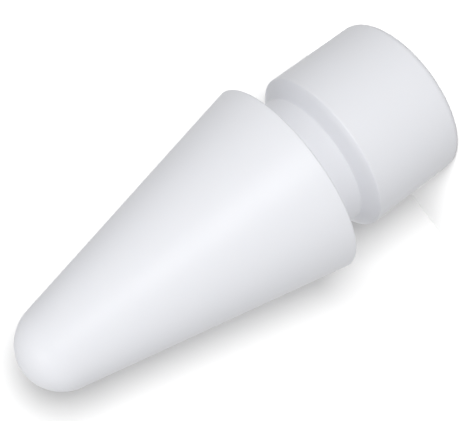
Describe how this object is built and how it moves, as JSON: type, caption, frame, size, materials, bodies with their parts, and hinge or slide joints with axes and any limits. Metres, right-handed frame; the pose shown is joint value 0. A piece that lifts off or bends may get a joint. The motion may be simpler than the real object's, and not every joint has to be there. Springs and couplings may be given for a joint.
{
  "type": "stylus pen nib",
  "caption": "Screw-on nib of a stylus pen: a white cone with a ball nose, a groove, and a rear collar that holds a threaded insert.",
  "frame": {"origin": "centre of the flat rear face of the collar, on the nib's axis", "axes": "+Z along the nib's axis, from the rear face of the collar towards the ball nose; X and Y are any two directions across it"},
  "size_m": [0.0072, 0.0072, 0.0159],
  "materials": {
    "white_moulding": "fine satin, slightly cool white",
    "turned_brass": "fine turned"
  },
  "bodies": {
    "root": {"nib_body": "white_moulding", "threaded_insert": "turned_brass"}
  },
  "joints": []
}
